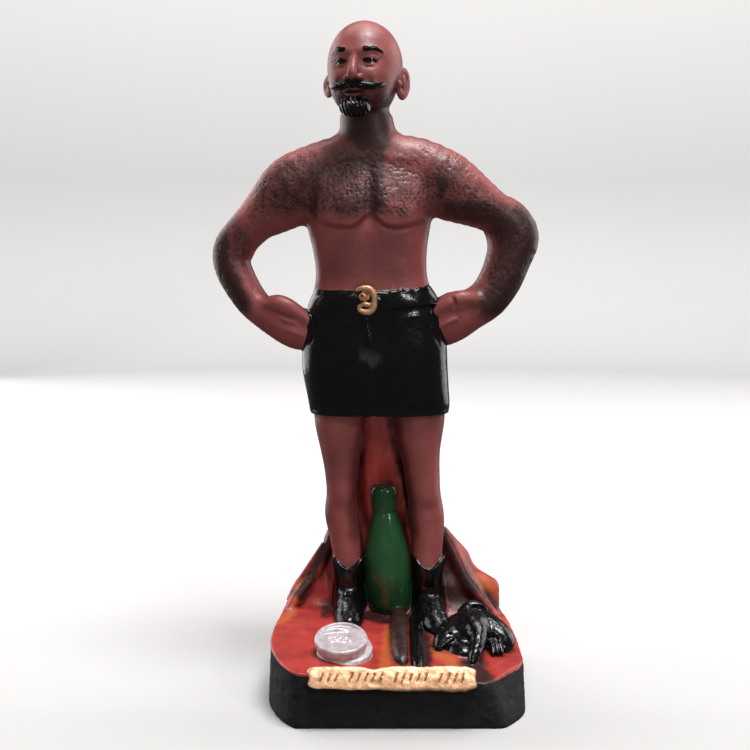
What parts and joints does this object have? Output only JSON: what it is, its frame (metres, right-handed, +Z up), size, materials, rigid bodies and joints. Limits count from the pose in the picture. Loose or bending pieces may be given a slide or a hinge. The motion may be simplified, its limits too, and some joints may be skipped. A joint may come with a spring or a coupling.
{
  "type": "spirit deity statue",
  "caption": "Small painted plaster statue of a bald, bare-chested figure with fists on hips, in black shorts and boots, on a base with flames, a bottle, a tin and a black bird",
  "frame": {"origin": "the middle of the base's flat underside", "axes": "X to the viewer's right as the figure faces the viewer, Y to the figure's back, Z up"},
  "size_m": [0.151, 0.1007, 0.3006],
  "materials": {
    "painted_plaster": "cast gypsum plaster, hand painted: satin red-brown skin, gloss black clothes, gold buckle and name strip, gloss red flames"
  },
  "bodies": {
    "root": {"spirit_statue": "painted_plaster"}
  },
  "joints": []
}
